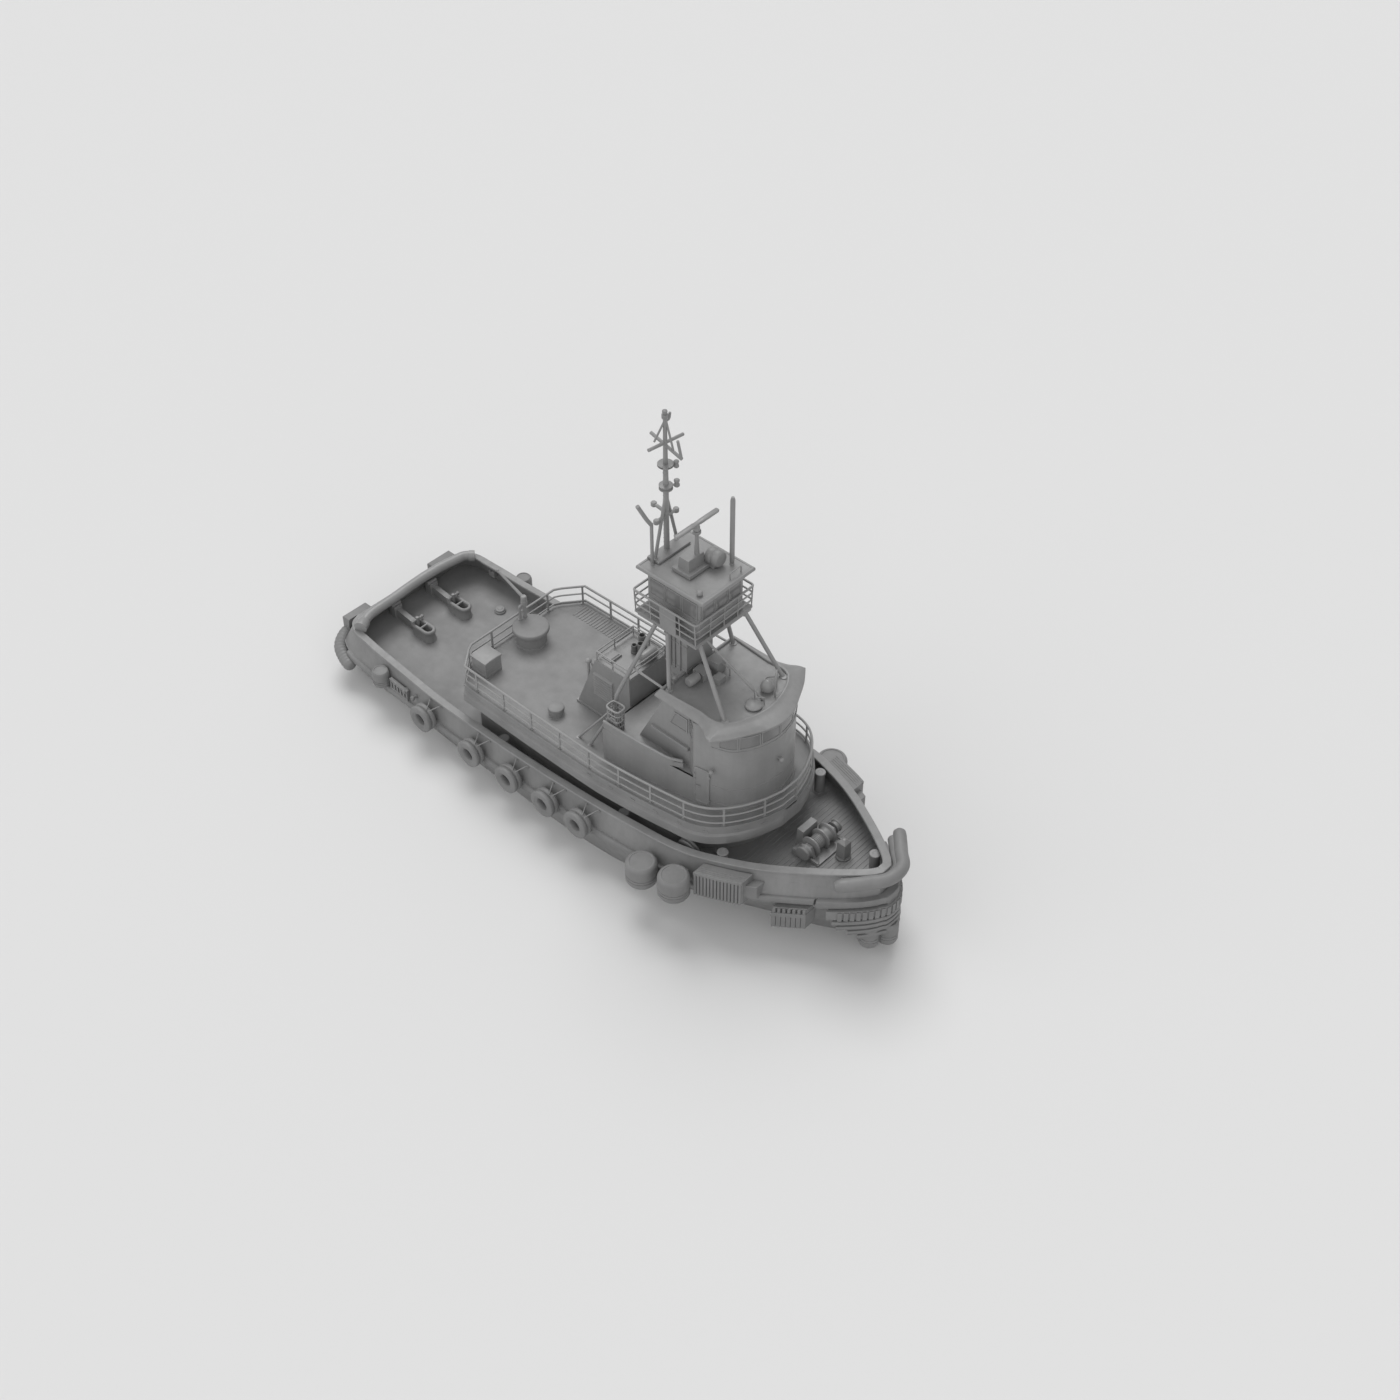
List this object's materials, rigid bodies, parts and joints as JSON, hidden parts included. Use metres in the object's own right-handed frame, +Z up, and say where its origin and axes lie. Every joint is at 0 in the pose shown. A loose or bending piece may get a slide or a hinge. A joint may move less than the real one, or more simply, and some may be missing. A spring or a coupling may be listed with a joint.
{
  "type": "harbour tugboat",
  "caption": "Harbour tugboat with tyre-hung rubber fenders, a railed boat deck, a raised wheelhouse, a legged upper control house and a mast.",
  "frame": {"origin": "on the centreline amidships, at the waterline", "axes": "+X to the bow, +Y to port, +Z up"},
  "size_m": [28.7313, 10.8679, 22.85],
  "materials": {
    "hull_paint": "satin paint",
    "house_paint": "satin paint",
    "deck_paint": "flat non-slip paint",
    "pipework": "satin paint",
    "rubber": "worn rubber",
    "bronze": "cast bronze"
  },
  "bodies": {
    "boat": {"barrel_fender_aft_port": "rubber", "barrel_fender_aft_starboard": "rubber", "barrel_fender_forward_port": "rubber", "barrel_fender_forward_starboard": "rubber", "barrel_fender_middle_starboard": "rubber", "block_fender_port": "rubber", "block_fender_starboard": "rubber", "boat_deck": "deck_paint", "boat_deck_rail": "pipework", "bow_fender": "rubber", "bow_tube_fender": "rubber", "bulwark": "hull_paint", "crane_post": "pipework", "deck_tyre": "rubber", "deckhouse": "house_paint", "engine_casing": "house_paint", "gallery": "pipework", "hull": "hull_paint", "locker": "house_paint", "louvre_fender_port": "rubber", "louvre_fender_starboard": "rubber", "lower_house": "house_paint", "mast": "pipework", "radar_post": "house_paint", "side_fender_port": "rubber", "side_fender_starboard": "rubber", "slat_fender_port": "rubber", "slat_fender_starboard": "rubber", "stern_corner_port": "rubber", "stern_corner_starboard": "rubber", "stern_pad_port": "rubber", "stern_pad_starboard": "rubber", "tow_bitt_port": "house_paint", "tow_bitt_starboard": "house_paint", "tow_tube": "house_paint", "tower": "pipework", "upper_house": "house_paint", "upper_roof": "house_paint", "wheelhouse": "house_paint", "wheelhouse_roof": "house_paint", "windlass": "house_paint"},
    "aft_door": {"aft_door": "house_paint"},
    "starboard_door": {"starboard_door": "house_paint"},
    "port_door": {"port_door": "house_paint"},
    "locker_lid": {"locker_lid": "house_paint"},
    "radar_scanner": {"radar_scanner": "pipework"},
    "windlass_drum": {"windlass_drum": "house_paint"},
    "propeller_port": {"propeller_port": "bronze"},
    "propeller_starboard": {"propeller_starboard": "bronze"},
    "rudder_port": {"rudder_port": "hull_paint"},
    "rudder_starboard": {"rudder_starboard": "hull_paint"},
    "crane_boom": {"crane_boom": "pipework"}
  },
  "joints": [
    {"name": "propeller_port_spin", "type": "hinge", "parent": "boat", "child": "propeller_port", "pos_m": [-11.55, 1.6, -1.95], "axis": [1, 0, 0], "continuous": true},
    {"name": "propeller_starboard_spin", "type": "hinge", "parent": "boat", "child": "propeller_starboard", "pos_m": [-11.55, -1.6, -1.95], "axis": [1, 0, 0], "continuous": true},
    {"name": "rudder_port_steer", "type": "hinge", "parent": "boat", "child": "rudder_port", "pos_m": [-12.75, 1.6, -1], "axis": [0, 0, 1], "range_deg": [-35, 35]},
    {"name": "rudder_starboard_steer", "type": "hinge", "parent": "boat", "child": "rudder_starboard", "pos_m": [-12.75, -1.6, -1], "axis": [0, 0, 1], "range_deg": [-35, 35]},
    {"name": "radar_scanner_spin", "type": "hinge", "parent": "boat", "child": "radar_scanner", "pos_m": [3.95, 0, 15.5], "axis": [0, 0, 1], "continuous": true},
    {"name": "windlass_drum_spin", "type": "hinge", "parent": "boat", "child": "windlass_drum", "pos_m": [10.12, 0.25, 3.26], "axis": [0, 1, 0], "continuous": true},
    {"name": "aft_door_swing", "type": "hinge", "parent": "boat", "child": "aft_door", "pos_m": [-5.66, 0.91, 1.58672], "axis": [0, 0, 1], "range_deg": [0, 100]},
    {"name": "starboard_door_swing", "type": "hinge", "parent": "boat", "child": "starboard_door", "pos_m": [6.60491, -2.20379, 4.52], "axis": [0, 0, 1], "range_deg": [0, 92]},
    {"name": "port_door_swing", "type": "hinge", "parent": "boat", "child": "port_door", "pos_m": [6.60491, 2.20379, 4.52], "axis": [0, 0, -1], "range_deg": [0, 92]},
    {"name": "locker_lid_lift", "type": "hinge", "parent": "boat", "child": "locker_lid", "pos_m": [-6.25, -2.285, 4.86], "axis": [0, -1, 0], "range_deg": [0, 100]},
    {"name": "crane_boom_slew", "type": "hinge", "parent": "boat", "child": "crane_boom", "pos_m": [-6.32, 0.46, 5.7503], "axis": [0, 0, 1], "range_deg": [-80, 80]}
  ],
  "couplings": [
    {"joint": "rudder_starboard_steer", "follows": "rudder_port_steer", "ratio": 1}
  ]
}
